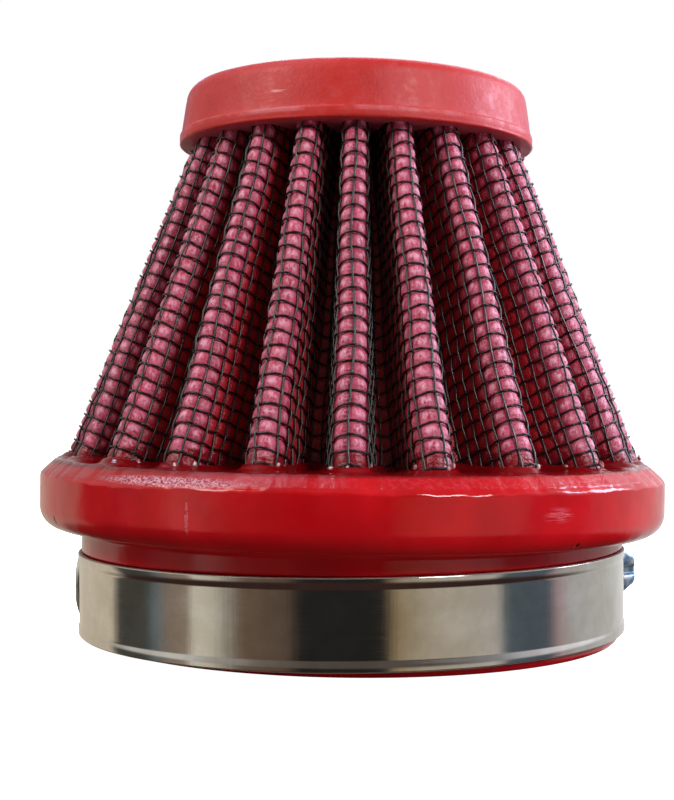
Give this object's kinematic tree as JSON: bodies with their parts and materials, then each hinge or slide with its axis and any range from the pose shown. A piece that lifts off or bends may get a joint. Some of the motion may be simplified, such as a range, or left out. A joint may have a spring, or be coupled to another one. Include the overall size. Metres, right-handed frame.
{
  "type": "cone air filter",
  "caption": "Tapered pleated air filter with a wire screen, moulded end cap and flange, and a worm-drive band clamp round its neck.",
  "frame": {"origin": "centre of the neck's open lower end, where the pipe goes in", "axes": "+Z along the filter's axis from the neck to the end cap, -Y towards the front pleat of the picture"},
  "size_m": [0.1003, 0.1002, 0.0875],
  "materials": {
    "flange_polyurethane": "glossy moulded",
    "cap_polyurethane": "satin moulded",
    "oiled_cotton": "oiled gauze",
    "screen_wire": "dark coated wire",
    "band_steel": "rolled bright",
    "housing_steel": "stamped",
    "screw_zinc": "blue zinc plate"
  },
  "bodies": {
    "filter": {"base_flange": "flange_polyurethane", "end_cap": "cap_polyurethane", "filter_media": "oiled_cotton", "outer_screen": "screen_wire", "inner_screen": "screen_wire", "clamp_band": "band_steel", "clamp_housing": "housing_steel"},
    "screw": {"clamp_screw": "screw_zinc"}
  },
  "joints": [
    {"name": "screw_turn", "type": "hinge", "parent": "filter", "child": "screw", "pos_m": [0.04057, 0.02535, 0.00794], "axis": [-0.5298, 0.848, -0.0092], "continuous": true}
  ]
}
